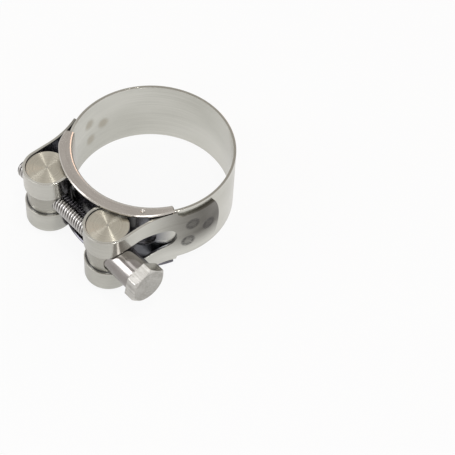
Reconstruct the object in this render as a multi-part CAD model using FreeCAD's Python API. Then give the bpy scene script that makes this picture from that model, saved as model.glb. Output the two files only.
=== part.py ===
import FreeCAD, Part
import math
import os

# Heavy-duty single-bolt hose clamp, millimetres.
# The origin is the centre of the ring at mid-width, +Z runs along the ring's axis, and the
# bolt runs along X on the -Y side, with its head at +X.
# Angles called "lug angles" are measured round the ring from the middle of the lug (-Y),
# positive towards the head of the bolt (+X).

# Hose and bridge
hose_diameter = 47.2
bridge_thickness = 1.0
bridge_seat_gap = 0.02
bridge_nut_end_angle = -52.5
bridge_head_end_angle = 64.5
flange_reach = 4.5
flange_nut_taper_angle = -40.0
flange_head_taper_angle = 40.0
flange_nut_end_reach = 2.7
flange_head_end_reach = 2.6
flange_end_fullness = 0.6
flange_side_gap = 0.45
fold_inner_radius = 0.3
nib_angle = 44.0
nib_diameter = 1.6
nib_tip_diameter = 0.4
nib_depth = 0.5
nib_rise = 0.15

# Strip of the band
strip_width = 22.0
strip_thickness = 0.8
strip_edge_break = 0.12
layer_gap = 0.03
landing_radius = 30.0
tongue_start_angle = 66.4
tongue_width = 17.2
tongue_tip_angle = 100.0
tongue_tip_radius = 18.0
tongue_relief_radius = 2.5

# Spot welds that hold each returning layer to the ring
weld_diameter = 4.0
weld_pair_angle = 76.0
weld_pair_offset = 3.6
weld_tip_angle = 90.5

# Barrels that the loops of the band wrap
barrel_spacing = 28.3
barrel_diameter = 12.8
barrel_inset = 0.2
barrel_edge_break = 0.25
loop_gap = 0.05

# Slots in the strip
slot_width = 7.4
slot_inner_end_angle = 52.8
slot_outer_end_angle = 66.5
window_clearance = 0.25
window_taper_length = 9.0
window_start_angle = 280.0

# Bolt
thread_diameter = 6.0
thread_clearance = 0.04
bolt_reach = 26.5
bolt_tip_chamfer = 0.9
hex_across_flats = 11.0
hex_height = 3.9
hex_turn = 19.0
crown_flat_share = 0.95
crown_angle = 30.0
washer_face_diameter = 10.2
washer_face_height = 0.3
head_bore_diameter = 6.6

# Spacer sleeve between the head and the flat seat on its barrel
sleeve_diameter = 9.8
sleeve_bore_diameter = 6.12
sleeve_length = 10.2
sleeve_edge_break = 0.25
seat_depth = 2.4
seat_clearance = 0.2

# How far cutting shapes run past the metal
overrun = 0.5
long_overrun = 4.0

# Sizes that follow
bridge_inner_radius = hose_diameter / 2
bridge_outer_radius = bridge_inner_radius + bridge_thickness
ring_inner_radius = bridge_outer_radius + bridge_seat_gap
ring_outer_radius = ring_inner_radius + strip_thickness
ring_middle_radius = ring_inner_radius + strip_thickness / 2
layer_middle_radius = ring_outer_radius + layer_gap + strip_thickness / 2
barrel_radius = barrel_diameter / 2
barrel_length = strip_width - 2 * barrel_inset
loop_middle_radius = barrel_radius + loop_gap + strip_thickness / 2
barrel_x = barrel_spacing / 2
barrel_reach = ring_middle_radius + loop_middle_radius
barrel_y = -math.sqrt(barrel_reach ** 2 - barrel_x ** 2)
contact_angle = math.degrees(math.asin(barrel_x / barrel_reach))
half_width = strip_width / 2
half_thickness = strip_thickness / 2
half_slot = slot_width / 2
return_x = barrel_x + loop_middle_radius
landing_x = return_x + landing_radius
landing_reach = layer_middle_radius + landing_radius
landing_angle = math.degrees(math.asin(landing_x / landing_reach))
landing_y = -landing_reach * math.cos(math.radians(landing_angle))
bridge_top = half_width + flange_side_gap + bridge_thickness
flange_radius = bridge_inner_radius + flange_reach
seat_x = barrel_x + barrel_radius - seat_depth
head_x = seat_x + sleeve_length
window_radius = sleeve_diameter / 2 + window_clearance
origin = FreeCAD.Vector(0, 0, 0)
up = FreeCAD.Vector(0, 0, 1)
along_bolt = FreeCAD.Vector(1, 0, 0)
half_bend = 1 - math.cos(math.radians(45))

# Runs of the strip's middle line on the head side. An arc run is (centre, radius, start, end)
# in polar degrees, anticlockwise when end > start. A straight run is (start, end).
ring_run = (origin, ring_middle_radius, 90.0, contact_angle - 90)
loop_run = (FreeCAD.Vector(barrel_x, barrel_y, 0), loop_middle_radius, contact_angle + 90, 360.0)
rise_run = (FreeCAD.Vector(return_x, barrel_y, 0), FreeCAD.Vector(return_x, landing_y, 0))
landing_run = (FreeCAD.Vector(landing_x, landing_y, 0), landing_radius, 180.0, landing_angle + 90)
layer_run = (origin, layer_middle_radius, landing_angle - 90, tongue_tip_angle - 90)


def polar(radius, angle, centre=origin):
    """Point in the plan at a polar angle in degrees."""
    turn = math.radians(angle)
    return centre + FreeCAD.Vector(math.cos(turn), math.sin(turn), 0) * radius


def round_ring(radius, lug_angle, height=0.0):
    return polar(radius, lug_angle - 90) + up * height


def flipped(shape):
    """Copy of a shape or edge mirrored across mid-width."""
    return shape.mirror(origin, up)


def mirrored(shape):
    """Copy of a head-side shape on the nut side."""
    return shape.mirror(origin, along_bolt)


def arc(start, middle, end):
    return Part.Arc(start, middle, end).toShape()


def chain(points):
    """Straight edges from point to point."""
    return [Part.makeLine(start, end) for start, end in zip(points, points[1:])]


def wire_face(edges):
    return Part.Face(Part.Wire(Part.__sortEdges__(edges)))


def slab(plan_face, half_height):
    """Prism of a plan face, centred on mid-width."""
    plan_face.translate(up * -half_height)
    return plan_face.extrude(up * (2 * half_height))


def run_edge(run, offset):
    """Edge of a run, moved to the left of the way it goes by offset."""
    if len(run) == 2:
        start, end = run
        way = (end - start).normalize()
        side = FreeCAD.Vector(-way.y, way.x, 0) * offset
        return Part.makeLine(start + side, end + side)
    centre, radius, start, end = run
    radius += -offset if end > start else offset
    return arc(*[polar(radius, angle, centre) for angle in (start, (start + end) / 2, end)])


def strip_face(runs, left, right):
    """Plan face of a strip that reaches left and right of its path."""
    left_edges = [run_edge(run, left) for run in runs]
    right_edges = [run_edge(run, -right) for run in runs]
    caps = []
    for index in (0, -1):
        left_end = left_edges[index].Vertexes[index].Point
        right_end = right_edges[index].Vertexes[index].Point
        caps.append(Part.makeLine(left_end, right_end))
    return wire_face(left_edges + right_edges + caps)


def returning_layer(last_lug_angle):
    """The loop's way back and the outer layer, with room outside them and none at the seam."""
    run = (layer_run[0], layer_run[1], layer_run[2], last_lug_angle - 90)
    under = half_thickness + layer_gap / 2
    return slab(strip_face([rise_run, landing_run, run], under, long_overrun), half_width)


def slot_cutters():
    """One side's slot: round the loop, with a round end in each layer."""
    inner_end = slot_inner_end_angle - math.degrees(half_slot / ring_middle_radius)
    outer_end = slot_outer_end_angle - math.degrees(half_slot / layer_middle_radius)
    reach = half_thickness + overrun
    inner_run = (origin, ring_middle_radius, inner_end - 90, contact_angle - 90)
    round_loop = slab(strip_face([inner_run, loop_run, rise_run], reach, reach), half_slot)
    inner_round = Part.makeCylinder(half_slot, 2 * reach, round_ring(ring_middle_radius - reach, inner_end),
                                    round_ring(1, inner_end))

    start = round_ring(layer_middle_radius - long_overrun, outer_end)
    end = round_ring(layer_middle_radius + long_overrun, outer_end)
    outer_round = Part.makeCylinder(half_slot, 2 * long_overrun, start, round_ring(1, outer_end))
    outside = FreeCAD.Vector(return_x + 2 * long_overrun, barrel_y, 0)
    corners = [start, end, outside, FreeCAD.Vector(barrel_x, barrel_y, 0), start]
    way_back = slab(wire_face(chain(corners)), half_slot)
    back = way_back.fuse(outer_round).common(returning_layer(slot_outer_end_angle + long_overrun))
    return [round_loop, inner_round, back]


def window_cutter():
    """The wide part of the head side's slot, a teardrop that lets the sleeve through."""
    outer_end = slot_outer_end_angle - math.degrees(half_slot / layer_middle_radius)
    narrow_y = round_ring(layer_middle_radius, outer_end).y
    wide_y = narrow_y - window_taper_length
    lean = math.asin((window_radius - half_slot) / window_taper_length)

    def on_wide_end(turn):
        return FreeCAD.Vector(0, wide_y + window_radius * math.sin(turn), window_radius * math.cos(turn))

    start = FreeCAD.Vector(0, barrel_y, window_radius)
    lowest = FreeCAD.Vector(0, barrel_y - window_radius, 0)
    narrow = FreeCAD.Vector(0, narrow_y + half_slot * math.sin(lean), half_slot * math.cos(lean))
    middle = FreeCAD.Vector(0, narrow.y, 0)
    half = chain([start, on_wide_end(0)])
    half.append(arc(on_wide_end(0), on_wide_end(lean / 2), on_wide_end(lean)))
    half += chain([on_wide_end(lean), narrow, middle])
    lower_end = arc(start - up * (2 * window_radius), lowest, start)
    outline = wire_face(half + [flipped(edge) for edge in half] + [lower_end])
    outline.translate(along_bolt * (barrel_x + half_thickness))
    punch = outline.extrude(along_bolt * (barrel_diameter + long_overrun))

    reach = half_thickness + overrun
    outer_loop = (loop_run[0], loop_run[1], window_start_angle, loop_run[3])
    loop_wall = slab(strip_face([outer_loop, rise_run], reach, reach), half_width)
    return punch.common(loop_wall.fuse(returning_layer(slot_outer_end_angle + long_overrun)))


def tongue_relief():
    """What is trimmed off the returning layer to leave its narrower, round-ended tongue."""
    past_tip = tongue_tip_angle + long_overrun
    trim_run = (origin, layer_middle_radius, tongue_start_angle - 90, past_tip - 90)
    under = half_thickness + layer_gap / 2
    trim = slab(strip_face([trim_run], under, half_thickness + overrun), half_width + overrun)

    middle_angle = (tongue_start_angle + tongue_tip_angle) / 2
    half_turn = math.radians((tongue_tip_angle - tongue_start_angle) / 2)
    half_tongue = tongue_width / 2
    tip = layer_middle_radius * math.sin(half_turn)
    corner = tip - tongue_tip_radius + math.sqrt(tongue_tip_radius ** 2 - half_tongue ** 2)
    relief = min(tongue_relief_radius, half_width - half_tongue)
    bend = relief * half_bend
    before = -tip - long_overrun
    past_edge = half_width + long_overrun

    def at(along, height):
        return FreeCAD.Vector(along, 0, height)

    half = chain([at(before, 0), at(before, past_edge), at(-tip, past_edge), at(-tip, half_tongue + relief)])
    half.append(arc(at(-tip, half_tongue + relief), at(bend - tip, half_tongue + bend),
                    at(relief - tip, half_tongue)))
    half += chain([at(relief - tip, half_tongue), at(corner, half_tongue)])
    half.append(arc(at(corner, half_tongue), at(tip, 0), at(corner, -half_tongue)))
    keep = wire_face(half + [flipped(edge) for edge in half[:-1]])
    keep = keep.extrude(FreeCAD.Vector(0, -2 * layer_middle_radius, 0))
    keep.rotate(origin, up, middle_angle)
    return trim.cut(keep)


def weld(lug_angle, height):
    """Spot weld that joins the returning layer to the ring through the seam."""
    start = round_ring(ring_outer_radius - half_thickness, lug_angle, height)
    return Part.makeCylinder(weld_diameter / 2, strip_thickness + layer_gap, start, round_ring(1, lug_angle))


def make_band():
    """One strip: the ring, a loop round each barrel and both returning layers, welded down."""
    runs = [ring_run, loop_run, rise_run, landing_run, layer_run]
    half = slab(strip_face(runs, half_thickness, half_thickness), half_width)
    band = half.fuse(mirrored(half)).removeSplitter()
    long_edges = [edge for edge in band.Edges if abs(abs(edge.CenterOfMass.z) - half_width) < 1e-6]
    band = band.makeChamfer(strip_edge_break, long_edges)

    head_side = slot_cutters() + [tongue_relief()]
    nut_side = [mirrored(cutter) for cutter in head_side]
    band = band.cut(head_side + nut_side + [window_cutter()])
    for side in (1, -1):
        band = band.fuse([
            weld(side * weld_pair_angle, weld_pair_offset),
            weld(side * weld_pair_angle, -weld_pair_offset),
            weld(side * weld_tip_angle, 0.0)])
    return band.removeSplitter()


def bridge_section():
    """U-shaped section at -Y: the floor, and a flange that folds outward over each side."""
    inner, outer = bridge_inner_radius, bridge_outer_radius
    top, low = bridge_top, bridge_top - bridge_thickness
    fold = fold_inner_radius + bridge_thickness
    outer_bend = fold * half_bend
    inner_bend = fold_inner_radius * half_bend

    def at(radius, height):
        return FreeCAD.Vector(0, -radius, height)

    half = chain([at(inner, 0), at(inner, top - fold)])
    half.append(arc(at(inner, top - fold), at(inner + outer_bend, top - outer_bend), at(inner + fold, top)))
    half += chain([at(inner + fold, top), at(flange_radius, top), at(flange_radius, low),
                   at(outer + fold_inner_radius, low)])
    half.append(arc(at(outer + fold_inner_radius, low), at(outer + inner_bend, low - inner_bend),
                    at(outer, low - fold_inner_radius)))
    half += chain([at(outer, low - fold_inner_radius), at(outer, 0)])
    return wire_face(half + [flipped(edge) for edge in half])


def flange_outline():
    """Plan of the flanges, which narrow to the ends of the bridge."""
    def taper(start_angle, end_angle, end_radius):
        middle = flange_radius + (end_radius - flange_radius) * (1 - flange_end_fullness)
        return arc(round_ring(flange_radius, start_angle),
                   round_ring(middle, (start_angle + end_angle) / 2), round_ring(end_radius, end_angle))

    core = bridge_inner_radius - overrun
    nut_end = bridge_inner_radius + flange_nut_end_reach
    head_end = bridge_inner_radius + flange_head_end_reach
    return wire_face([
        Part.makeLine(round_ring(core, bridge_nut_end_angle), round_ring(nut_end, bridge_nut_end_angle)),
        taper(flange_nut_taper_angle, bridge_nut_end_angle, nut_end),
        arc(round_ring(flange_radius, flange_nut_taper_angle), round_ring(flange_radius, 0),
            round_ring(flange_radius, flange_head_taper_angle)),
        taper(flange_head_taper_angle, bridge_head_end_angle, head_end),
        Part.makeLine(round_ring(head_end, bridge_head_end_angle), round_ring(core, bridge_head_end_angle)),
        arc(round_ring(core, bridge_head_end_angle), round_ring(core, 0),
            round_ring(core, bridge_nut_end_angle))])


def make_bridge():
    """Channel-shaped liner under the gap, with a pressed nib in each flange."""
    section = bridge_section()
    section.rotate(origin, up, bridge_nut_end_angle)
    bridge = section.revolve(origin, up, bridge_head_end_angle - bridge_nut_end_angle)
    bridge = bridge.common(slab(flange_outline(), bridge_top + overrun))

    nib_place = bridge_outer_radius + fold_inner_radius + nib_diameter / 2
    for side in (1, -1):
        outside = round_ring(nib_place, nib_angle, side * bridge_top)
        inside = round_ring(nib_place, nib_angle, side * (bridge_top - bridge_thickness))
        dent = Part.makeCone(nib_diameter / 2, nib_tip_diameter / 2, nib_depth, outside, up * -side)
        bump = Part.makeCone(nib_diameter / 2, nib_tip_diameter / 2, nib_rise, inside, up * -side)
        bridge = bridge.fuse(bump).cut(dent)
    return bridge.removeSplitter()


def chamfered_cylinder(diameter, length, chamfer, start, way):
    body = Part.makeCylinder(diameter / 2, length, start, way)
    rims = [edge for edge in body.Edges if isinstance(edge.Curve, Part.Circle)]
    return body.makeChamfer(chamfer, rims)


def drilled_barrel(x, hole_diameter):
    """Barrel that stands across the bolt, with a hole for it."""
    foot = FreeCAD.Vector(x, barrel_y, -barrel_length / 2)
    body = chamfered_cylinder(barrel_diameter, barrel_length, barrel_edge_break, foot, up)
    hole_start = FreeCAD.Vector(x - barrel_diameter, barrel_y, 0)
    return body.cut(Part.makeCylinder(hole_diameter / 2, 2 * barrel_diameter, hole_start, along_bolt))


def make_nut_barrel():
    return drilled_barrel(-barrel_x, thread_diameter + thread_clearance)


def make_head_barrel():
    """Barrel with a wider hole and a flat, round seat for the sleeve."""
    seat_start = FreeCAD.Vector(seat_x, barrel_y, 0)
    seat = Part.makeCylinder(sleeve_diameter / 2 + seat_clearance, barrel_diameter, seat_start, along_bolt)
    return drilled_barrel(barrel_x, head_bore_diameter).cut(seat)


def make_sleeve():
    start = FreeCAD.Vector(seat_x, barrel_y, 0)
    body = chamfered_cylinder(sleeve_diameter, sleeve_length, sleeve_edge_break, start, along_bolt)
    return body.cut(Part.makeCylinder(sleeve_bore_diameter / 2, sleeve_length, start, along_bolt))


def make_bolt():
    """Hex head bolt: washer face, crowned hexagon and a shank with a tapered lead."""
    under_head = FreeCAD.Vector(head_x, barrel_y, 0)
    hex_start = under_head + along_bolt * washer_face_height
    corner_radius = hex_across_flats / math.sqrt(3)
    corners = []
    for index in range(7):
        turn = math.radians(hex_turn + 30 + 60 * index)
        corners.append(hex_start + FreeCAD.Vector(0, -math.sin(turn), math.cos(turn)) * corner_radius)
    hexagon = wire_face(chain(corners)).extrude(along_bolt * hex_height)

    flat_radius = hex_across_flats / 2 * crown_flat_share
    crown_height = (corner_radius - flat_radius) * math.tan(math.radians(crown_angle))
    crown_start = hex_start + along_bolt * (hex_height - crown_height)
    crown = Part.makeCone(corner_radius, flat_radius, crown_height, crown_start, along_bolt)
    drum = Part.makeCylinder(corner_radius, hex_height - crown_height, hex_start, along_bolt)
    hexagon = hexagon.common(drum.fuse(crown))

    washer_face = Part.makeCylinder(washer_face_diameter / 2, washer_face_height, under_head, along_bolt)
    tip = FreeCAD.Vector(-bolt_reach, barrel_y, 0)
    radius = thread_diameter / 2
    lead = Part.makeCone(radius - bolt_tip_chamfer, radius, bolt_tip_chamfer, tip, along_bolt)
    shank_start = tip + along_bolt * bolt_tip_chamfer
    shank = Part.makeCylinder(radius, head_x + bolt_reach - bolt_tip_chamfer, shank_start, along_bolt)
    return hexagon.fuse([washer_face, shank, lead]).removeSplitter()


pieces = {
    "band": make_band,
    "bridge": make_bridge,
    "nut_barrel": make_nut_barrel,
    "head_barrel": make_head_barrel,
    "spacer_sleeve": make_sleeve,
    "bolt": make_bolt,
}

os.makedirs("parts", exist_ok=True)
for name, make in pieces.items():
    solids = make().Solids
    print(name, len(solids), "solid, volume", round(solids[0].Volume, 2), "valid", solids[0].isValid())
    solids[0].exportStep("parts/" + name + ".step")
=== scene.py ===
import math

import bpy
from mathutils import Matrix, Vector


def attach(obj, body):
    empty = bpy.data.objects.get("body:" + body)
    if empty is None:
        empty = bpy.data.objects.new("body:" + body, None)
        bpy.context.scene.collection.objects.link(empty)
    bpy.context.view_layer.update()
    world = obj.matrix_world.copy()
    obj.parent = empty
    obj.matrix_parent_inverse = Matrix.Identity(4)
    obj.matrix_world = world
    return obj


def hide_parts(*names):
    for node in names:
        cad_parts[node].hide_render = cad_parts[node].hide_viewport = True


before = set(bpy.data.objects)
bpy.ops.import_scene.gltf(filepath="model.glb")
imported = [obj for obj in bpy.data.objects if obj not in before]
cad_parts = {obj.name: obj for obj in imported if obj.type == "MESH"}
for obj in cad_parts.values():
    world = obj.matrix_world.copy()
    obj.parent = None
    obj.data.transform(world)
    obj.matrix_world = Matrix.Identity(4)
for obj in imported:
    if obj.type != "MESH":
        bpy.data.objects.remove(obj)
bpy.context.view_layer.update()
print("frame loaded")

# Camera, in metres in the frame of the solids
shot = {
    "place": (0.22388, -0.19223, 0.35176),
    "right": (0.66894, 0.74191, 0.04569),
    "up": (-0.60498, 0.50770, 0.61340),
    "lens": 118.68,
    "sensorWidth": 36,
    "farClip": 20,
}


def makeCamera():
    right, up = Vector(shot["right"]).normalized(), Vector(shot["up"]).normalized()
    bpy.ops.object.camera_add(location=shot["place"])
    camera = bpy.context.object
    turn = Matrix((right, up, right.cross(up))).transposed().to_4x4()
    camera.matrix_world = Matrix.Translation(shot["place"]) @ turn
    camera.data.lens = shot["lens"]
    camera.data.sensor_width = shot["sensorWidth"]
    camera.data.clip_end = shot["farClip"]
    bpy.context.scene.camera = camera


makeCamera()
bpy.context.scene.view_settings.view_transform = "Standard"
print("camera placed")


# Small tools for work in edit mode
tiny = 1e-6  # slack for comparing places, in metres
mergeGap = 1e-7  # doubles are nearer than this
facing = 0.9  # a face whose normal has more than this along an axis faces that way
sharpAngle = 50  # edges that turn by more degrees than this are rounded


def makeActive(piece):
    bpy.ops.object.select_all(action="DESELECT")
    piece.select_set(True)
    bpy.context.view_layer.objects.active = piece


def openEdit(piece, kind="VERT", action="SELECT"):
    makeActive(piece)
    bpy.ops.object.mode_set(mode="EDIT")
    bpy.ops.mesh.select_mode(type=kind)
    bpy.ops.mesh.select_all(action=action)


def leaveEdit():
    bpy.ops.object.mode_set(mode="OBJECT")


def pick(piece, kind, test):
    # Leaves the piece in edit mode with only the parts selected that pass the test
    openEdit(piece, kind, "DESELECT")
    leaveEdit()
    mesh = piece.data
    if kind == "VERT":
        for vertex in mesh.vertices:
            vertex.select = test(vertex.co)
    elif kind == "EDGE":
        for edge in mesh.edges:
            first, last = (mesh.vertices[index].co for index in edge.vertices)
            edge.select = all(test(point) for point in (first, last, (first + last) / 2))
    else:
        for face in mesh.polygons:
            face.select = test(face)
    bpy.ops.object.mode_set(mode="EDIT")


def bevelEdges(piece, test, width, segments):
    pick(piece, "EDGE", test)
    bpy.ops.mesh.bevel(offset=width, segments=segments)
    leaveEdit()


def cut(place, way, **settings):
    # Cuts everything in the open mesh along a plane
    bpy.ops.mesh.select_all(action="SELECT")
    bpy.ops.mesh.bisect(plane_co=place, plane_no=way, **settings)


def closeUp(piece, distance=mergeGap):
    # Merges doubles, then turns every face outwards
    openEdit(piece)
    bpy.ops.mesh.remove_doubles(threshold=distance)
    bpy.ops.mesh.normals_make_consistent(inside=False)
    leaveEdit()


def settle(piece):
    # Puts place, turn and scale into the mesh
    makeActive(piece)
    bpy.ops.object.transform_apply(location=True, rotation=True, scale=True)


def addPiece(name, addPrimitive, **settings):
    bpy.ops.object.select_all(action="DESELECT")
    addPrimitive(**settings)
    piece = bpy.context.object
    piece.name = name
    settle(piece)
    return piece


def addCylinder(name, radius, depth, place, sides, axis="Z"):
    turn = (0, math.pi / 2, 0) if axis == "X" else (0, 0, 0)
    return addPiece(name, bpy.ops.mesh.primitive_cylinder_add, vertices=sides, radius=radius,
                    depth=depth, location=place, rotation=turn)


def drawLine(name, points):
    # A plane shrunk to its first point, then drawn on from point to point
    line = addPiece(name, bpy.ops.mesh.primitive_plane_add, size=0.001, location=points[0])
    openEdit(line)
    bpy.ops.mesh.merge(type="CENTER")
    for start, end in zip(points, points[1:]):
        step = [b - a for a, b in zip(start, end)]
        bpy.ops.mesh.extrude_region_move(TRANSFORM_OT_translate={"value": step})
    leaveEdit()
    return line


def useModifier(piece, kind, **settings):
    makeActive(piece)
    modifier = piece.modifiers.new(kind.title(), kind)
    for name, value in settings.items():
        setattr(modifier, name, value)
    bpy.ops.object.modifier_apply(modifier=modifier.name)


def roundEdges(piece, width, segments, **settings):
    useModifier(piece, "BEVEL", width=width, segments=segments, limit_method="ANGLE",
                angle_limit=math.radians(sharpAngle), **settings)


def combine(piece, other, operation):
    useModifier(piece, "BOOLEAN", operation=operation, solver="EXACT", object=other)
    bpy.data.objects.remove(other)


def smooth(piece, degrees):
    makeActive(piece)
    bpy.ops.object.shade_smooth_by_angle(angle=math.radians(degrees))
    useModifier(piece, "WEIGHTED_NORMAL", keep_sharp=True, weight=50)


def ease(share):
    # Runs smoothly from 0 to 1, and holds both ends
    share = min(1, max(0, share))
    return share * share * (3 - 2 * share)


# Small tools for materials
noiseSpan = (0.3, 0.7)  # nearly all of a noise's values lie in here


def addNode(tree, kind, values=None, **settings):
    node = tree.nodes.new(kind)
    for name, value in settings.items():
        setattr(node, name, value)
    for name, value in (values or {}).items():
        node.inputs[name].default_value = value
    return node


def mathNode(tree, operation, first, second=None):
    node = addNode(tree, "ShaderNodeMath", operation=operation)
    for socket, value in zip(node.inputs, (first, second)):
        if isinstance(value, (int, float)):
            socket.default_value = value
        elif value is not None:
            tree.links.new(value, socket)
    return node.outputs[0]


def productNode(tree, first, *others):
    for value in others:
        first = mathNode(tree, "MULTIPLY", first, value)
    return first


def distanceNode(tree, first, second):
    squares = [mathNode(tree, "POWER", value, 2) for value in (first, second)]
    return mathNode(tree, "SQRT", mathNode(tree, "ADD", *squares))


def blendNode(tree, first, second, share):
    # Weighted sum of two patterns: the second has what the first's share leaves
    return mathNode(tree, "ADD", mathNode(tree, "MULTIPLY", first, share),
                    mathNode(tree, "MULTIPLY", second, 1 - share))


def rangeNode(tree, value, low, high, lowOut, highOut, kind="LINEAR"):
    node = addNode(tree, "ShaderNodeMapRange", interpolation_type=kind, values={
        "From Min": low, "From Max": high, "To Min": lowOut, "To Max": highOut})
    tree.links.new(value, node.inputs["Value"])
    return node.outputs["Result"]


def noiseNode(tree, coordinates, scale, detail):
    stretch = addNode(tree, "ShaderNodeMapping", {"Scale": scale})
    noise = addNode(tree, "ShaderNodeTexNoise", {"Scale": 1.0, "Detail": detail})
    tree.links.new(coordinates, stretch.inputs["Vector"])
    tree.links.new(stretch.outputs["Vector"], noise.inputs["Vector"])
    return noise.outputs["Fac"]


def splitNode(tree, vector):
    split = addNode(tree, "ShaderNodeSeparateXYZ")
    tree.links.new(vector, split.inputs[0])
    return split.outputs


def joinNode(tree, *values):
    join = addNode(tree, "ShaderNodeCombineXYZ")
    for value, socket in zip(values, join.inputs):
        tree.links.new(value, socket)
    return join.outputs[0]


def mixColour(tree, share, first, second):
    node = addNode(tree, "ShaderNodeMix", data_type="RGBA")
    for index, value in ((0, share), (6, first), (7, second)):
        if isinstance(value, tuple):
            node.inputs[index].default_value = (*value, 1)
        else:
            tree.links.new(value, node.inputs[index])
    return node.outputs[2]


def mixShader(tree, share, first, second, output):
    mix = addNode(tree, "ShaderNodeMixShader")
    for socket, value in zip(mix.inputs, (share, first.outputs[0], second.outputs[0])):
        tree.links.new(value, socket)
    tree.links.new(mix.outputs[0], tree.nodes[output].inputs["Surface"])


def newMetal(name, anisotropy=0.0, **grooves):
    # Highlights run across the grooves, which follow the tangent where one is given
    material = bpy.data.materials.new(name)
    material.use_nodes = True
    tree = material.node_tree
    shader = tree.nodes["Principled BSDF"]
    shader.inputs["Metallic"].default_value = 1.0
    shader.inputs["Anisotropic"].default_value = anisotropy
    shader.inputs["Anisotropic Rotation"].default_value = 0.25
    if grooves:
        tangent = addNode(tree, "ShaderNodeTangent", **grooves)
        tree.links.new(tangent.outputs[0], shader.inputs["Tangent"])
    return material, tree


def patternColour(tree, pattern, finish):
    share = rangeNode(tree, pattern, *finish["contrast"], 0, 1)
    return mixColour(tree, share, finish["dark"], finish["pale"])


def patternRoughness(tree, pattern, finish):
    return rangeNode(tree, pattern, *noiseSpan, *finish["roughness"])


def dressMetal(tree, colour, roughness, *bumps):
    # Each bump is a height and its strength and distance; they work in a chain
    shader = tree.nodes["Principled BSDF"]
    tree.links.new(colour, shader.inputs["Base Color"])
    tree.links.new(roughness, shader.inputs["Roughness"])
    normal = None
    for height, (strength, distance) in bumps:
        bump = addNode(tree, "ShaderNodeBump", {"Strength": strength, "Distance": distance})
        tree.links.new(height, bump.inputs["Height"])
        if normal:
            tree.links.new(normal, bump.inputs["Normal"])
        normal = bump.outputs["Normal"]
    tree.links.new(normal, shader.inputs["Normal"])


def finishPiece(piece, body, node, materials):
    for material in materials:
        piece.data.materials.append(material)
    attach(piece, body)
    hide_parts(node)
    print(piece.name, len(piece.data.polygons), "faces")


# Band: one strip, cut flat and then wrapped round the ring and both barrels. Lengths are in
# metres and angles in degrees; a lug angle runs from -Y, positive towards +X
strip = {
    "width": 0.022,
    "thickness": 0.0008,
    "edge": 0.00012,
    "ringRadius": 0.02502,
    "layerRadius": 0.02585,
    "loopRadius": 0.00685,
    "loopCentre": (0.01415, -0.0285565),
    "contactAngle": 26.36,
    "landingRadius": 0.030,
    "landingCentre": (0.0510, -0.02277),
    "landingAngle": 65.94,
    "tipAngle": 100.0,
    "tipReach": 0.006,
    "tongueStart": 66.4,
    "tongueWidth": 0.0172,
    "tongueTipRadius": 0.018,
    "slotWidth": 0.0074,
    "slotInnerEnd": 52.8,
    "slotOuterEnd": 66.5,
    "windowRadius": 0.00515,
    "windowWideEnd": -0.02258,
    "windowStretch": 1.13,
    "cutterDepth": 0.004,
    "cutterSides": 96,
    "reliefBlock": (0.02, 0.008),  # length and width
    "reliefSegments": 12,
    "weldMarks": ((77.4, 0.0036), (90.0, 0.0), (74.3, -0.0036),
                  (-79.0, 0.0036), (-92.4, 0.0), (-79.7, -0.0036)),
    "weldRadius": 0.0022,
    "weldDepth": 0.00007,
    "weldReach": 1.3,  # this and the next two in weld radii
    "weldRim": (0.85, 0.16),
    "weldFlat": (0.75, 0.3),
    "weldShares": (0.6, 0.4),  # of the depth, for the flat and for the rim
    "lugShade": (65.0, 53.0),
    "lugShadeLead": 0.003,
    "lugShadeRim": 0.00001,
    "acrossStep": 0.00055,
    "markZone": (0.038, 0.050),
    "alongSteps": (0.001, 0.0005, 0.0007, 0.0005, 0.001, 0.0008, 0.0005),
}


def stripRuns():
    # Runs of the head side's middle line: centre, radius, start and end angle, or two points
    contact, landing = strip["contactAngle"], strip["landingAngle"]
    riseFoot = (strip["loopCentre"][0] + strip["loopRadius"], strip["loopCentre"][1])
    riseTop = (riseFoot[0], strip["landingCentre"][1])
    return [
        ((0, 0), strip["ringRadius"], 90, contact - 90),
        (strip["loopCentre"], strip["loopRadius"], contact + 90, 360),
        (riseFoot, riseTop),
        (strip["landingCentre"], strip["landingRadius"], 180, landing + 90),
        ((0, 0), strip["layerRadius"], landing - 90, strip["tipAngle"] - 90),
    ]


def runLength(run):
    if len(run) == 2:
        return math.dist(*run)
    return run[1] * math.radians(abs(run[3] - run[2]))


runs = stripRuns()
runStarts = [sum(runLength(run) for run in runs[:count]) for count in range(len(runs) + 1)]
loopEnd, riseEnd, landingEnd, halfLength = runStarts[2:]


def onPath(along):
    # Point and left-hand normal of the path at a length from the ring's far side
    index = max(i for i in range(len(runs)) if along >= runStarts[i] or i == 0)
    run, rest = runs[index], along - runStarts[index]
    if len(run) == 2:
        (x, y), end = run
        length = runLength(run)
        way = ((end[0] - x) / length, (end[1] - y) / length)
        return x + way[0] * rest, y + way[1] * rest, -way[1], way[0]
    (x, y), radius, start, end = run
    side = 1 if end > start else -1
    angle = math.radians(start) + side * rest / radius
    return (x + radius * math.cos(angle), y + radius * math.sin(angle),
            -side * math.cos(angle), -side * math.sin(angle))


def ringAlong(lugAngle):
    return strip["ringRadius"] * math.radians(180 - abs(lugAngle))


def layerAlong(lugAngle):
    return landingEnd + strip["layerRadius"] * math.radians(abs(lugAngle) - strip["landingAngle"])


def toSide(cutter, side):
    # A side of -1 mirrors the cutter over to the nut side
    cutter.scale.x = side
    settle(cutter)
    closeUp(cutter)
    return cutter


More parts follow.
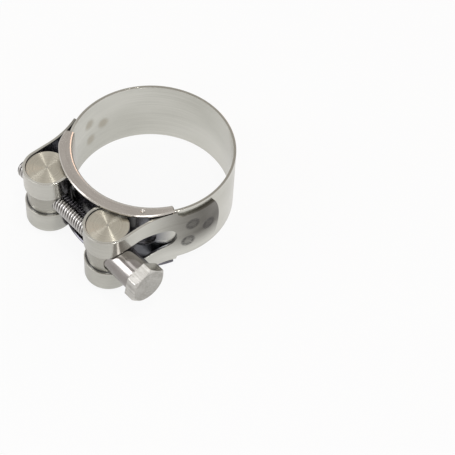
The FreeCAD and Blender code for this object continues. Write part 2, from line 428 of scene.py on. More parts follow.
def slotCutter(start, end, startRadius, endRadius, side, stretch=1.0):
    # Cylinder pulled out to a long hole: its far half moves to the end and is scaled there,
    # and its near half may be stretched
    cutter = addCylinder("slotCutter", startRadius, strip["cutterDepth"], (start, 0, 0),
                         strip["cutterSides"])
    lean = startRadius * (startRadius - endRadius) / max(end - start, tiny) + tiny
    for vertex in cutter.data.vertices:
        if vertex.co.x < start:
            vertex.co.x = start + (vertex.co.x - start) * stretch
    pick(cutter, "VERT", lambda co: co.x - start > lean)
    scale = endRadius / startRadius
    bpy.ops.transform.resize(value=(scale, scale, 1), center_override=(start, 0, 0))
    bpy.ops.transform.translate(value=(end - start, 0, 0))
    leaveEdit()
    return toSide(cutter, side)


def tongueCutter(side, edge):
    # Block with one upright edge rounded, which leaves the tongue's relief
    tongue, start = strip["tongueWidth"] / 2, layerAlong(strip["tongueStart"])
    length, width = strip["reliefBlock"]
    cutter = addPiece("tongueCutter", bpy.ops.mesh.primitive_cube_add, size=1,
                      location=(start + length / 2, edge * (tongue + width / 2), 0),
                      scale=(length, width, strip["cutterDepth"]))
    bevelEdges(cutter, lambda co: abs(co.x - start) < tiny and abs(abs(co.y) - tongue) < tiny,
               strip["width"] / 2 - tongue, strip["reliefSegments"])
    return toSide(cutter, side)


def cutStops(start, end, step):
    count = max(1, round((end - start) / step))
    return [start + (end - start) * index / count for index in range(count)]


def makeBand():
    band = addPiece("clampBand", bpy.ops.mesh.primitive_cube_add, size=1, location=(0, 0, 0),
                    scale=(2 * halfLength, strip["width"], strip["thickness"]))
    cutOpenings(band)
    closeUp(band, tiny)
    roundEdges(band, strip["edge"], 2, use_clamp_overlap=False)
    cutSteps(band)
    print("strip cut flat,", len(band.data.polygons), "faces")
    roundTips(band)
    pressWelds(band)
    wrapStrip(band)
    closeUp(band)
    smooth(band, degrees=30)
    return band


def cutOpenings(band):
    # A slot and a relieved tongue on both sides, and the sleeve's window on the head side
    halfSlot, window = strip["slotWidth"] / 2, strip["windowRadius"]
    inner = ringAlong(strip["slotInnerEnd"]) + halfSlot
    outer = layerAlong(strip["slotOuterEnd"]) - halfSlot
    for side in (1, -1):
        combine(band, slotCutter(inner, outer, halfSlot, halfSlot, side), "DIFFERENCE")
        for edge in (1, -1):
            combine(band, tongueCutter(side, edge), "DIFFERENCE")
    wide = riseEnd + (strip["windowWideEnd"] - strip["landingCentre"][1])
    for cutter in (slotCutter(wide, outer, window, halfSlot, 1),
                   slotCutter(loopEnd, wide, window, window, 1, strip["windowStretch"])):
        combine(band, cutter, "DIFFERENCE")


def cutSteps(band):
    # Cuts across and along, so that the strip can bend and take the weld marks
    openEdit(band)
    half = strip["width"] / 2
    for stop in cutStops(-half, half, strip["acrossStep"])[1:]:
        cut((0, stop, 0), (0, 1, 0))
    zones = (0, *strip["markZone"], *runStarts[1:])
    steps = zip(zones, zones[1:], strip["alongSteps"])
    for stop in sorted({stop for zone in steps for stop in cutStops(*zone)}):
        for place in {stop, -stop}:
            cut((place, 0, 0), (1, 0, 0))
    leaveEdit()


def roundTips(band):
    # Draws the last few millimetres of each tongue into its round end
    radius, reach = strip["tongueTipRadius"], strip["tipReach"]
    for vertex in band.data.vertices:
        along, across = abs(vertex.co.x), vertex.co.y
        share = ease((along - halfLength) / reach + 1)
        inset = (radius - math.sqrt(radius ** 2 - across ** 2)) * share
        vertex.co.x -= math.copysign(inset, vertex.co.x)


def markPlaces():
    # Each spot weld shows on the outer layer and on the inside of the ring
    places = []
    for angle, height in strip["weldMarks"]:
        side = math.copysign(1, angle)
        places += [(side * layerAlong(angle), height), (side * ringAlong(angle), height)]
    return places


def pressWelds(band):
    # Shallow round dents, on the face that ends up outside and in the hose's way
    (rimPlace, rimWidth), (flatEnd, flatFade) = strip["weldRim"], strip["weldFlat"]
    flatShare, rimShare = strip["weldShares"]
    places = markPlaces()
    for vertex in band.data.vertices:
        if vertex.co.z > 0:
            continue
        for along, height in places:
            distance = math.hypot(vertex.co.x - along, -vertex.co.y - height) / strip["weldRadius"]
            if distance < strip["weldReach"]:
                rim = math.exp(-((distance - rimPlace) / rimWidth) ** 2)
                flat = ease(1 - (distance - flatEnd) / flatFade)
                vertex.co.z += strip["weldDepth"] * (flat * flatShare + rim * rimShare)


def wrapStrip(band):
    mesh = band.data
    for loop in mesh.loops:
        flat = mesh.vertices[loop.vertex_index].co
        mesh.uv_layers[0].data[loop.index].uv = (flat.x, -flat.y)
    # Notes how far each spot lies inside a lug, where painted shade darkens the closed-in face
    # without its outer edges
    paintedLugShade = mesh.attributes.new(name="paintedLugShade", type="FLOAT", domain="POINT")
    tongueAlong = layerAlong(strip["tongueStart"]) - strip["lugShadeLead"]
    clear, dim = (ringAlong(angle) for angle in strip["lugShade"])
    for vertex in mesh.vertices:
        along, across, out = vertex.co
        share = min(1, max(0, (abs(along) - clear) / (dim - clear)))
        width = strip["tongueWidth"] if abs(along) > tongueAlong else strip["width"]
        rim = width / 2 - strip["edge"] + strip["lugShadeRim"]
        paintedLugShade.data[vertex.index].value = share if out > 0 and abs(across) < rim else 0
        x, y, normalX, normalY = onPath(min(abs(along), halfLength))
        side = -1 if along < 0 else 1
        vertex.co = (side * (x + normalX * out), y + normalY * out, -across)


# In a finish, a pattern is its scales and detail, a bump is its strength and distance, and a
# range is two places and the values that it gives there
bandFinish = {
    "pale": (0.69, 0.685, 0.635),
    "dark": (0.55, 0.545, 0.495),
    "roughness": (0.17, 0.25),
    "anisotropy": 0.6,
    "contrast": (0.38, 0.62),
    "streaks": ((30, 2600, 1), 4),
    "drift": ((26, 55, 1), 2),
    "streakShare": 0.35,
    "streakBump": (0.04, 0.00002),
    "fine": ((400, 9000, 1), 2),
    "fineBump": (0.06, 0.00001),
    "smears": ((900, 2600, 1), 3),
    "smearReach": 0.0002,
    "markColour": (0.045, 0.042, 0.042),
    "markShare": 0.85,
    "markRoughness": 0.12,
    "markInner": (0.0008, 0.0016, 0.65, 1),
    "markOuter": (0.0019, 0.0026, 1, 0),
    "markSmears": (0.38, 0.6, 0.45, 1.0),
    "insideMark": (0.44, 0.41, 0.34),
    "insideShare": 0.8,
    "insideBlot": (0.0008, 0.0028, 1, 0),
    "heatTint": (0.05, 0.043, 0.034),
    "tintShare": 0.93,
    "tintReach": (0.001, 0.010),
    "tintAcross": (-0.008, -0.001, 0.0, 1.0),
    "tintClouds": ((90, 160, 1), 3),
    "tintCloudRange": (0.2, 0.8, 0.8, 1.0),
    "slitEdge": (0.36, 0.345, 0.30),
    "slitRange": (0.0109, 0.01098, 0, 0.7),
    "slitFade": (70, 60),
    # painted shade where the lugs close the strip in
    "paintedLugShade": (0.19, 0.195, 0.22),
    "lugShadeShare": 0.92,
}


def markDistance(tree, uv):
    # Distance to the nearest weld mark
    nearest = None
    for along, height in markPlaces():
        gap = addNode(tree, "ShaderNodeVectorMath", operation="DISTANCE")
        gap.inputs[1].default_value = (along, height, 0)
        tree.links.new(uv, gap.inputs[0])
        value = gap.outputs["Value"]
        nearest = mathNode(tree, "MINIMUM", nearest, value) if nearest else value
    return nearest


def makeBandMetal():
    finish = bandFinish
    material, tree = newMetal("rolledStrip", finish["anisotropy"],
                              direction_type="UV_MAP", uv_map="UVMap")
    uv = addNode(tree, "ShaderNodeTexCoord").outputs["UV"]
    along, across, _ = splitNode(tree, uv)
    length = mathNode(tree, "ABSOLUTE", along)
    onLayer = mathNode(tree, "GREATER_THAN", length, riseEnd)
    streaks, drift, fine, smears, clouds = (
        noiseNode(tree, uv, *finish[name])
        for name in ("streaks", "drift", "fine", "smears", "tintClouds"))
    blended = blendNode(tree, streaks, drift, finish["streakShare"])
    colour = patternColour(tree, blended, finish)

    # Heat tint over the tongue
    leadIn, leadOut = finish["tintReach"]
    tint = productNode(
        tree, rangeNode(tree, length, riseEnd - leadIn, landingEnd + leadOut, 0, 1, "SMOOTHSTEP"),
        rangeNode(tree, across, *finish["tintAcross"]),
        rangeNode(tree, clouds, *finish["tintCloudRange"]), finish["tintShare"])
    colour = mixColour(tree, tint, colour, finish["heatTint"])

    # The ring's slit edges are coloured darker than its faces
    slit = rangeNode(tree, mathNode(tree, "ABSOLUTE", across), *finish["slitRange"])
    fade = (ringAlong(angle) for angle in finish["slitFade"])
    onRing = rangeNode(tree, length, *fade, 1, 0)
    colour = mixColour(tree, productNode(tree, slit, onRing), colour, finish["slitEdge"])

    # Weld marks: pale blots inside the ring, dark smeared rings on the tongue
    reach = finish["smearReach"]
    wobble = rangeNode(tree, smears, *noiseSpan, -reach, reach)
    nearest = mathNode(tree, "ADD", markDistance(tree, uv), wobble)
    blot, inner, outer = (rangeNode(tree, nearest, *finish[name], "SMOOTHSTEP")
                          for name in ("insideBlot", "markInner", "markOuter"))
    offLayer = mathNode(tree, "SUBTRACT", 1, onLayer)
    colour = mixColour(tree, productNode(tree, blot, offLayer, finish["insideShare"]), colour,
                       finish["insideMark"])
    mark = productNode(tree, inner, outer, rangeNode(tree, smears, *finish["markSmears"]), onLayer)
    colour = mixColour(tree, productNode(tree, mark, finish["markShare"]), colour,
                       finish["markColour"])

    # Painted shade where the lugs close the strip in
    paintedLugShade = addNode(tree, "ShaderNodeAttribute", attribute_name="paintedLugShade").outputs["Fac"]
    colour = mixColour(tree, productNode(tree, paintedLugShade, finish["lugShadeShare"]), colour, finish["paintedLugShade"])
    rough = mathNode(tree, "ADD", patternRoughness(tree, streaks, finish),
                     productNode(tree, mark, finish["markRoughness"]))
    dressMetal(tree, colour, rough, (streaks, finish["streakBump"]), (fine, finish["fineBump"]))
    return material


finishPiece(makeBand(), "ring", "band", [makeBandMetal()])


# Bridge: channel-shaped liner, its section drawn once and spun round the ring's axis
channel = {
    "floorRadius": 0.0241,
    "floorSteps": 5,
    "thickness": 0.001,
    "flangeHeight": 0.01195,
    "flangeRadius": 0.0278,
    "flangeSteps": 4,
    "foldRadius": 0.0008,
    "foldSteps": 7,
    "startAngle": -52.5,
    "endAngle": 64.5,
    "stepsPerDegree": 2,
    "nutTaper": -40.0,
    "headTaper": 40.0,
    "nutEndRadius": 0.0263,
    "headEndRadius": 0.0262,
    "taperPower": 1.3,
    "cornerRadius": 0.0008,
    "cornerSegments": 4,
    "cornerSlack": (0.05, 1e-5),  # degrees, metres
    "edge": 0.00028,
    "nibAngle": 44.0,
    "nibPlace": 0.0257,
    "nibRadius": 0.0009,
    "nibDepth": 0.0005,
}


def lugAngle(co):
    return math.degrees(math.atan2(co.x, -co.y))


def lugPoint(radius, angle, height):
    turn = math.radians(angle)
    return radius * math.sin(turn), -radius * math.cos(turn), height


def flangeReach(angle):
    # Outer radius of the flange's outline at a lug angle
    full = channel["flangeRadius"]
    for taper, end, radius in (
            (channel["nutTaper"], channel["startAngle"], channel["nutEndRadius"]),
            (channel["headTaper"], channel["endAngle"], channel["headEndRadius"])):
        share = (angle - taper) / (end - taper)
        if share > 0:
            return full + (radius - full) * min(1, share) ** channel["taperPower"]
    return full


def atCorner(co):
    angle, (turnSlack, slack) = lugAngle(co), channel["cornerSlack"]
    fromEnd = min(abs(angle - channel["startAngle"]), abs(angle - channel["endAngle"]))
    return fromEnd < turnSlack and abs(math.hypot(co.x, co.y) - flangeReach(angle)) < slack


def bridgeSection():
    # Radius and height, from the upper flange's rim over the floor to the lower flange's rim
    floor, rim = channel["floorRadius"], channel["flangeRadius"]
    height, fold = channel["flangeHeight"], channel["foldRadius"]
    inner, steps = floor + fold, channel["flangeSteps"]
    half = [(rim + (inner - rim) * step / steps, height) for step in range(steps)]
    for step in range(channel["foldSteps"] + 1):
        turn = math.pi / 2 * step / channel["foldSteps"]
        half.append((inner - fold * math.sin(turn), height - fold + fold * math.cos(turn)))
    steps = channel["floorSteps"]
    half += [(floor, (height - fold) * (1 - step / steps)) for step in range(1, steps)]
    return half + [(floor, 0)] + [(r, -z) for r, z in reversed(half)]


def taperFlange(bridge):
    inner, rim = channel["floorRadius"] + channel["foldRadius"], channel["flangeRadius"]
    for vertex in bridge.data.vertices:
        reach = math.hypot(vertex.co.x, vertex.co.y)
        if reach > inner + tiny:
            share = (reach - inner) / (rim - inner)
            wanted = inner + (flangeReach(lugAngle(vertex.co)) - inner) * share
            vertex.co.x *= wanted / reach
            vertex.co.y *= wanted / reach


def punchNib(bridge, side):
    face = side * (channel["flangeHeight"] + channel["thickness"] / 2)
    height = face + side * (channel["nibRadius"] - channel["nibDepth"])
    punch = addPiece("punch", bpy.ops.mesh.primitive_uv_sphere_add, segments=32, ring_count=24,
                     radius=channel["nibRadius"],
                     location=lugPoint(channel["nibPlace"], channel["nibAngle"], height))
    combine(bridge, punch, "DIFFERENCE")


def makeBridge():
    points = [lugPoint(r, channel["startAngle"], z) for r, z in bridgeSection()]
    bridge = drawLine("bridgeChannel", points)
    openEdit(bridge)
    sweep = channel["endAngle"] - channel["startAngle"]
    bpy.ops.mesh.spin(steps=round(sweep * channel["stepsPerDegree"]), angle=math.radians(sweep),
                      center=(0, 0, 0), axis=(0, 0, -1))
    leaveEdit()
    taperFlange(bridge)

    # Rounds the flange's corners, then gives the sheet its thickness
    closeUp(bridge)
    pick(bridge, "VERT", atCorner)
    bpy.ops.mesh.bevel(offset=channel["cornerRadius"] / 2, segments=channel["cornerSegments"],
                       affect="VERTICES")
    leaveEdit()
    useModifier(bridge, "SOLIDIFY", thickness=channel["thickness"], offset=0, use_even_offset=True)
    closeUp(bridge)
    roundEdges(bridge, channel["edge"], 1, use_clamp_overlap=False)
    for side in (1, -1):
        punchNib(bridge, side)
    smooth(bridge, degrees=35)
    return bridge


bridgeFinish = {
    "pale": (0.60, 0.57, 0.53),
    "dark": (0.49, 0.46, 0.42),
    "roughness": (0.20, 0.28),
    "contrast": (0.3, 0.7),
    "clouds": ((220, 220, 220), 3),
    "cloudShare": 0.35,
    "drawn": ((3500, 120, 1), 3),
    "drawnBump": (0.06, 0.00002),
    "grain": ((2600, 2600, 2600), 3),
    "grainBump": (0.05, 0.00002),
    # painted shade in the channel and on the lower flange
    "channelShade": (0.13, 0.13, 0.16),
    "channelShadeShare": 0.9,
    "channelShadeOutside": (0.0243, 0.0245, 0, 1),
    "channelShadeBelow": (0.0112, 0.0117, 1, 0),
    "channelShadeAbove": (-0.0124, -0.0123, 0, 1),
}


def makeBridgeMetal():
    finish = bridgeFinish
    material, tree = newMetal("pressedSheet")
    place = addNode(tree, "ShaderNodeTexCoord").outputs["Object"]
    x, y, z = splitNode(tree, place)
    reach = distanceNode(tree, x, y)
    clouds, grain = (noiseNode(tree, place, *finish[name]) for name in ("clouds", "grain"))
    # Drawing marks run round the flange
    drawn = noiseNode(tree, joinNode(tree, reach, x), *finish["drawn"])
    blended = blendNode(tree, clouds, drawn, finish["cloudShare"])
    colour = patternColour(tree, blended, finish)
    # Painted shade on the outside of the channel's floor and on the lower flange's edge
    outside = rangeNode(tree, reach, *finish["channelShadeOutside"])
    below, above = (rangeNode(tree, z, *finish[name]) for name in ("channelShadeBelow", "channelShadeAbove"))
    channelShade = productNode(tree, outside, below, above, finish["channelShadeShare"])
    colour = mixColour(tree, channelShade, colour, finish["channelShade"])
    dressMetal(tree, colour, patternRoughness(tree, grain, finish),
               (grain, finish["grainBump"]), (drawn, finish["drawnBump"]))
    return material


finishPiece(makeBridge(), "ring", "bridge", [makeBridgeMetal()])


# Barrels: turned rods that stand across the bolt
barrel = {
    "x": strip["loopCentre"][0],
    "y": strip["loopCentre"][1],
    "radius": 0.0064,
    "length": 0.0211,
    "sides": 128,
    "edge": 0.00025,
    "endFrom": 0.0105,
    "centreMark": (0.0003, 0.00025, 0.00012),  # radius, slope's width and depth
    "threadHole": 0.00302,
    "boltHole": 0.0033,
    "holeSides": 64,
    "seatX": 0.01815,
    "seatRadius": 0.0051,
    "seatDepth": 0.006,
    "seatSides": 96,
}


def makeBarrel(name, x, hole):
    place = (x, barrel["y"], 0)
    rod = addCylinder(name, barrel["radius"], barrel["length"], place, barrel["sides"])
    half = barrel["length"] / 2
    bevelEdges(rod, lambda co: abs(abs(co.z) - half) < tiny, barrel["edge"], 3)
    # A small centre mark from the lathe in each end
    markRadius, markSlope, markDepth = barrel["centreMark"]
    pick(rod, "FACE", lambda face: abs(abs(face.center.z) - half) < tiny)
    bpy.ops.mesh.inset(thickness=barrel["radius"] - barrel["edge"] - markRadius)
    bpy.ops.mesh.inset(thickness=markSlope)
    leaveEdit()
    for vertex in rod.data.vertices:
        if math.hypot(vertex.co.x - x, vertex.co.y - barrel["y"]) < markRadius / 3:
            vertex.co.z -= math.copysign(markDepth, vertex.co.z)
    drill = addCylinder("drill", hole, 3 * barrel["radius"], place, barrel["holeSides"], "X")
    combine(rod, drill, "DIFFERENCE")
    return rod


def makeBarrels():
    nutBarrel = makeBarrel("nutBarrel", -barrel["x"], barrel["threadHole"])
    headBarrel = makeBarrel("headBarrel", barrel["x"], barrel["boltHole"])
    middle = (barrel["seatX"] + barrel["seatDepth"] / 2, barrel["y"], 0)
    seat = addCylinder("seat", barrel["seatRadius"], barrel["seatDepth"], middle,
                       barrel["seatSides"], "X")
    combine(headBarrel, seat, "DIFFERENCE")
    for rod in (nutBarrel, headBarrel):
        smooth(rod, degrees=30)
    return nutBarrel, headBarrel


turnedFinish = {
    "rings": ((7000, 1, 1), 3),
    "ringBump": (0.05, 0.00001),
    "bands": ((1500, 1, 1), 2),
    "bandShare": 0.6,
    "bandBump": (0.12, 0.00003),
    "clouds": ((150, 150, 150), 3),
}

endFinish = {
    "pale": (0.66, 0.635, 0.54),
    "dark": (0.56, 0.53, 0.445),
    "roughness": (0.26, 0.31),
    "contrast": (0.35, 0.65),
    "anisotropy": 1.0,
}

sideFinish = {
    "pale": (0.51, 0.50, 0.45),
    "dark": (0.43, 0.42, 0.375),
    "roughness": (0.25, 0.33),
    "contrast": (0.35, 0.65),
    "anisotropy": 0.5,
}


def makeBarrelMetal(name, finish):
    material, tree = newMetal(name, finish["anisotropy"], direction_type="RADIAL", axis="Z")
    place = addNode(tree, "ShaderNodeTexCoord").outputs["Object"]
    # Lathe marks: rings about the nearer barrel's own axis on its ends, and along it on its side
    x, y, z = splitNode(tree, place)
    away = mathNode(tree, "SUBTRACT", mathNode(tree, "ABSOLUTE", x), barrel["x"])
    radius = distanceNode(tree, away, mathNode(tree, "SUBTRACT", y, barrel["y"]))
    measure = joinNode(tree, radius if finish is endFinish else z)
    rings, bands = (noiseNode(tree, measure, *turnedFinish[name]) for name in ("rings", "bands"))
    clouds = noiseNode(tree, place, *turnedFinish["clouds"])
    blended = blendNode(tree, bands, clouds, turnedFinish["bandShare"])
    dressMetal(tree, patternColour(tree, blended, finish), patternRoughness(tree, rings, finish),
               (rings, turnedFinish["ringBump"]), (bands, turnedFinish["bandBump"]))
    return material


def addBarrels():
    metals = [makeBarrelMetal("turnedSide", sideFinish), makeBarrelMetal("turnedEnd", endFinish)]
    for rod, node in zip(makeBarrels(), ("nut_barrel", "head_barrel")):
        finishPiece(rod, "ring", node, metals)
        for face in rod.data.polygons:
            atEnd = abs(face.normal.z) > facing and abs(face.center.z) > barrel["endFrom"]
            face.material_index = 1 if atEnd else 0


addBarrels()


# Spacer sleeve between the head and its barrel
sleeve = {
    "start": barrel["seatX"],
    "length": 0.0102,
    "radius": 0.0049,
    "bore": 0.00306,
    "sides": 128,
    "edge": 0.00025,
}


def makeSleeve():
    middle = (sleeve["start"] + sleeve["length"] / 2, barrel["y"], 0)
    tube = addCylinder("spacerSleeve", sleeve["radius"], sleeve["length"], middle,
                       sleeve["sides"], "X")
    pick(tube, "FACE", lambda face: abs(face.normal.x) > facing)
    bpy.ops.mesh.inset(thickness=sleeve["radius"] - sleeve["bore"])
    bpy.ops.mesh.bridge_edge_loops()
    leaveEdit()
    closeUp(tube)
    roundEdges(tube, sleeve["edge"], 3)
    smooth(tube, degrees=30)
    return tube


polish = {
    "turned": ((5000, 60, 60), 3),
    "turnedBump": (0.06, 0.00001),
    "clouds": ((300, 300, 300), 3),
    "cloudBump": (0.04, 0.00005),
}

sleeveFinish = {
    "pale": (0.39, 0.37, 0.355),
    "dark": (0.32, 0.30, 0.285),
    "roughness": (0.14, 0.20),
    "contrast": (0.3, 0.7),
    "anisotropy": 0.4,
}


def makePolishedMetal(name, finish):
    grooves = {"direction_type": "RADIAL", "axis": "X"} if finish["anisotropy"] else {}
    material, tree = newMetal(name, finish["anisotropy"], **grooves)
    place = addNode(tree, "ShaderNodeTexCoord").outputs["Object"]
    turned, clouds = (noiseNode(tree, place, *polish[name]) for name in ("turned", "clouds"))
    colour = patternColour(tree, clouds, finish)
    if "root" in finish:
        # Painted shade in the thread's roots, which makes them darker than its crests
        _, y, z = splitNode(tree, place)
        radius = distanceNode(tree, mathNode(tree, "SUBTRACT", y, barrel["y"]), z)
        crest = rangeNode(tree, radius, *finish["rootReach"], 0, 1)
        colour = mixColour(tree, crest, finish["root"], colour)
    dressMetal(tree, colour, patternRoughness(tree, turned, finish),
               (turned, polish["turnedBump"]), (clouds, polish["cloudBump"]))
    return material


finishPiece(makeSleeve(), "sleeve", "spacer_sleeve",
            [makePolishedMetal("polishedSleeve", sleeveFinish)])


# Bolt: crowned hexagon, washer face and a rolled thread
bolt = {
    "pitch": 0.001,
    "radius": 0.003,
    "rootRadius": 0.00246,
    "rootRound": 0.00006,
    "crestRound": 0.00005,
    "threadSides": 48,
    "tip": -0.0265,
    "lead": 0.0009,
    "cutPast": 0.51,
    "blankMargin": 0.0002,
    "blankExtra": 0.002,
    "headX": 0.02835,
    "washerHeight": 0.0003,
    "washerRadius": 0.0051,
    "acrossFlats": 0.011,
    "height": 0.0039,
    "edge": 0.00022,
    "turn": 19.0,
    "flatShare": 0.95,
    "crownAngle": 30.0,
    "drumLead": 0.001,
    "sides": 96,
    "drumSides": 192,
}


def onBolt(x):
    return x, barrel["y"], 0


def makeThread():
    pitch, root, crest, tip = bolt["pitch"], bolt["rootRadius"], bolt["radius"], bolt["tip"]
    middle, nearRoot = (root + crest) / 2, root + bolt["rootRound"]
    nearCrest = crest - bolt["crestRound"]
    # Share of the pitch, and radius
    section = ((0, root), (0.08, root), (0.16, nearRoot), (0.28, middle), (0.40, nearCrest),
               (0.46, crest), (0.54, crest), (0.60, nearCrest), (0.72, middle),
               (0.84, nearRoot), (0.92, root), (1, root))
    # The section stands two pitches before the tip, so that the cut across it is clean
    begin = tip - 2 * pitch
    turns = math.ceil((bolt["headX"] - begin) / pitch) + 2
    thread = drawLine("hexBolt", [(radius, 0, begin + share * pitch) for share, radius in section])
    useModifier(thread, "SCREW", angle=2 * math.pi, screw_offset=pitch, iterations=turns,
                steps=bolt["threadSides"], render_steps=bolt["threadSides"],
                use_merge_vertices=True, merge_threshold=tiny, use_smooth_shade=True)
    thread.rotation_euler.y = math.pi / 2
    settle(thread)
    closeUp(thread, 2 * tiny)
    thread.location = onBolt(0)
    settle(thread)
    # Both ends are cut a little past what stays, and filled
    for place, way in ((tip - bolt["cutPast"] * pitch, -1),
                       (bolt["headX"] + bolt["cutPast"] * bolt["washerHeight"], 1)):
        openEdit(thread)
        cut((place, 0, 0), (way, 0, 0), use_fill=True, clear_outer=True, threshold=mergeGap)
        leaveEdit()
    closeUp(thread)
    # The lead at the tip is turned to a cone
    margin, length = bolt["blankMargin"], bolt["headX"] - tip + bolt["blankExtra"]
    blank = addCylinder("blank", crest + margin, length, onBolt(tip + length / 2),
                        bolt["sides"], "X")
    bevelEdges(blank, lambda co: abs(co.x - tip) < tiny, bolt["lead"] + margin, 1)
    combine(thread, blank, "INTERSECT")
    closeUp(thread, tiny)
    return thread


def makeHead():
    corner = bolt["acrossFlats"] / math.sqrt(3)
    start = bolt["headX"] + bolt["washerHeight"]
    middle, end = start + bolt["height"] / 2, start + bolt["height"]
    head = addCylinder("hexHead", corner, bolt["height"], onBolt(middle), 6, "X")
    # Turns it until a corner stands where the solids have one
    first = head.data.vertices[0].co
    turn = math.radians(bolt["turn"] + 30) - math.atan2(barrel["y"] - first.y, first.z)
    axis = Matrix.Translation(onBolt(0))
    head.data.transform(axis @ Matrix.Rotation(turn, 4, "X") @ axis.inverted())
    roundEdges(head, bolt["edge"], 3)
    # Crowns the end with a drum whose rim slopes back
    flat, lead = bolt["acrossFlats"] / 2 * bolt["flatShare"], bolt["drumLead"]
    crown = (corner - flat) * math.tan(math.radians(bolt["crownAngle"]))
    drum = addCylinder("drum", corner, bolt["height"] + lead, onBolt(middle - lead / 2),
                       bolt["drumSides"], "X")
    pick(drum, "FACE", lambda face: face.normal.x > facing)
    bpy.ops.mesh.inset(thickness=corner - flat)
    leaveEdit()
    for vertex in drum.data.vertices:
        x, y, z = vertex.co
        if abs(x - end) < tiny and math.hypot(y - barrel["y"], z) > flat + tiny:
            vertex.co.x -= crown
    combine(head, drum, "INTERSECT")
    washer = addCylinder("washerFace", bolt["washerRadius"], 2 * bolt["washerHeight"],
                         onBolt(start), bolt["sides"], "X")
    combine(head, washer, "UNION")
    return head


def makeBolt():
    thread = makeThread()
    combine(thread, makeHead(), "UNION")
    closeUp(thread)
    smooth(thread, degrees=32)
    return thread


threadFinish = {
    "pale": (0.74, 0.725, 0.705),
    "dark": (0.64, 0.625, 0.605),
    "roughness": (0.12, 0.18),
    "contrast": (0.3, 0.7),
    "anisotropy": 0.0,
    # painted shade for the thread's roots
    "root": (0.16, 0.155, 0.15),
    "rootReach": (bolt["rootRadius"] + 0.00005, bolt["radius"] - 0.0001),
}

headFinish = {
    "pale": (0.71, 0.70, 0.665),
    "dark": (0.45, 0.44, 0.41),
    "roughness": (0.16, 0.26),
    "contrast": (0.38, 0.62),
    "clouds": ((420, 420, 420), 4),
    "cloudShare": 0.45,
    "cloudBump": (0.10, 0.00006),
    "lines": ((80, 2700, 2700), 3),
    "lineBump": (0.22, 0.00002),
    # painted shade across the end face
    "endShade": (0.27, 0.265, 0.24),
    "endShare": 0.45,
    "endReach": (0.0001, 0.00002),
}


def makeHeadMetal():
    # Drawn bar: lines along the flats, and painted shade across the end
    finish = headFinish
    material, tree = newMetal("drawnHead")
    place = addNode(tree, "ShaderNodeTexCoord").outputs["Object"]
    lines, clouds = (noiseNode(tree, place, *finish[name]) for name in ("lines", "clouds"))
    blended = blendNode(tree, clouds, lines, finish["cloudShare"])
    end = bolt["headX"] + bolt["washerHeight"] + bolt["height"]
    far, near = finish["endReach"]
    onEnd = rangeNode(tree, splitNode(tree, place)["X"], end - far, end - near,
                      0, finish["endShare"])
    colour = mixColour(tree, onEnd, patternColour(tree, blended, finish), finish["endShade"])
    dressMetal(tree, colour, patternRoughness(tree, lines, finish),
               (lines, finish["lineBump"]), (clouds, finish["cloudBump"]))
    return material


def addBolt():
    piece = makeBolt()
    finishPiece(piece, "screw", "bolt",
                [makePolishedMetal("rolledThread", threadFinish), makeHeadMetal()])
    for face in piece.data.polygons:
        face.material_index = 1 if face.center.x > bolt["headX"] else 0


addBolt()


# Floor, light and background
stage = {
    "floorHeight": -0.01247,
    "floorSize": 6,
    "floorColour": (0.72, 0.72, 0.72),
    "floorGlow": 0.9,
    "mirroredGlow": (0.05, 0.58),
    "glowReach": (-0.050, -0.012),
    "white": {"Color": (1, 1, 1, 1), "Strength": 1.0},
    "tent": (  # height in the sky, colour
        (0.0, (1.0, 1.0, 1.0)),
        (0.25, (0.95, 0.95, 0.95)),
        (0.6, (0.72, 0.70, 0.68)),
        (1.0, (0.55, 0.52, 0.51)),
    ),
    "lampDistance": 0.9,
    "lamps": (  # name, direction, width, height, glow, colour
        ("overheadLamp", (0.14, 0.10, 0.98), 0.06, 0.06, 90.0, (1.0, 0.99, 0.97)),
        ("leftLamp", (-0.48, -0.73, 0.53), 0.21, 0.56, 3.9, (0.96, 0.96, 1.0)),
        ("rightLamp", (0.60, -0.44, 0.67), 0.40, 0.40, 3.4, (0.97, 0.97, 1.0)),
        ("topPanel", (-0.43, -0.13, 0.91), 0.26, 0.22, 1.2, (0.97, 0.98, 1.0)),
        ("warmLamp", (-0.10, 0.93, 0.34), 0.65, 0.26, 2.0, (1.0, 0.58, 0.38)),
    ),
}


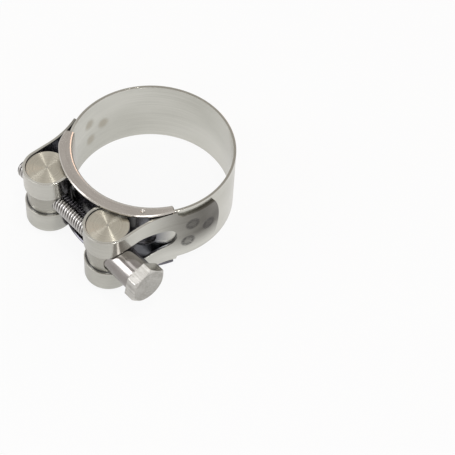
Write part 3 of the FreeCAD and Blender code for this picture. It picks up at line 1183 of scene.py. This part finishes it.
def makeFloor():
    floor = addPiece("paleFloor", bpy.ops.mesh.primitive_plane_add, size=stage["floorSize"],
                     location=(0, 0, stage["floorHeight"]))
    material = bpy.data.materials.new("paleFloor")
    material.use_nodes = True
    tree = material.node_tree
    tree.nodes.remove(tree.nodes["Principled BSDF"])
    diffuse = addNode(tree, "ShaderNodeBsdfDiffuse", {"Color": (*stage["floorColour"], 1)})
    glow = addNode(tree, "ShaderNodeEmission", stage["white"])
    rays = addNode(tree, "ShaderNodeLightPath").outputs
    seen = mathNode(tree, "MULTIPLY", rays["Is Camera Ray"], stage["floorGlow"])
    # In the metal's reflections the floor is dimmer in front of the bolt and brighter behind it
    place = addNode(tree, "ShaderNodeTexCoord").outputs["Object"]
    fade = rangeNode(tree, splitNode(tree, place)["Y"], *stage["glowReach"], *stage["mirroredGlow"])
    mirrored = mathNode(tree, "MULTIPLY", rays["Is Glossy Ray"], fade)
    share = mathNode(tree, "ADD", seen, mirrored)
    mixShader(tree, share, diffuse, glow, "Material Output")
    floor.data.materials.append(material)


def makeWorld():
    world = bpy.data.worlds.new("lightTent")
    bpy.context.scene.world = world
    world.use_nodes = True
    tree = world.node_tree
    tent = tree.nodes["Background"]
    way = addNode(tree, "ShaderNodeTexCoord").outputs["Generated"]
    ramp = addNode(tree, "ShaderNodeValToRGB")
    tree.links.new(splitNode(tree, way)["Z"], ramp.inputs["Fac"])
    marks = ramp.color_ramp.elements
    marks.remove(marks[1])
    for height, colour in stage["tent"]:
        mark = marks.new(height) if height > 0 else marks[0]
        mark.color = (*colour, 1)
    tree.links.new(ramp.outputs["Color"], tent.inputs["Color"])
    white = addNode(tree, "ShaderNodeBackground", stage["white"])
    rays = addNode(tree, "ShaderNodeLightPath").outputs
    mixShader(tree, rays["Is Camera Ray"], tent, white, "World Output")


def makeLamps():
    for name, way, width, height, glow, colour in stage["lamps"]:
        place = Vector(way).normalized() * stage["lampDistance"]
        bpy.ops.object.light_add(type="AREA", location=place)
        lamp = bpy.context.object
        lamp.name = name
        lamp.rotation_euler = place.to_track_quat("Z", "Y").to_euler()
        lamp.data.shape = "RECTANGLE"
        lamp.data.size, lamp.data.size_y = width, height
        lamp.data.energy = glow * math.pi * width * height
        lamp.data.color = colour


makeFloor()
makeWorld()
makeLamps()
print("stage lit")
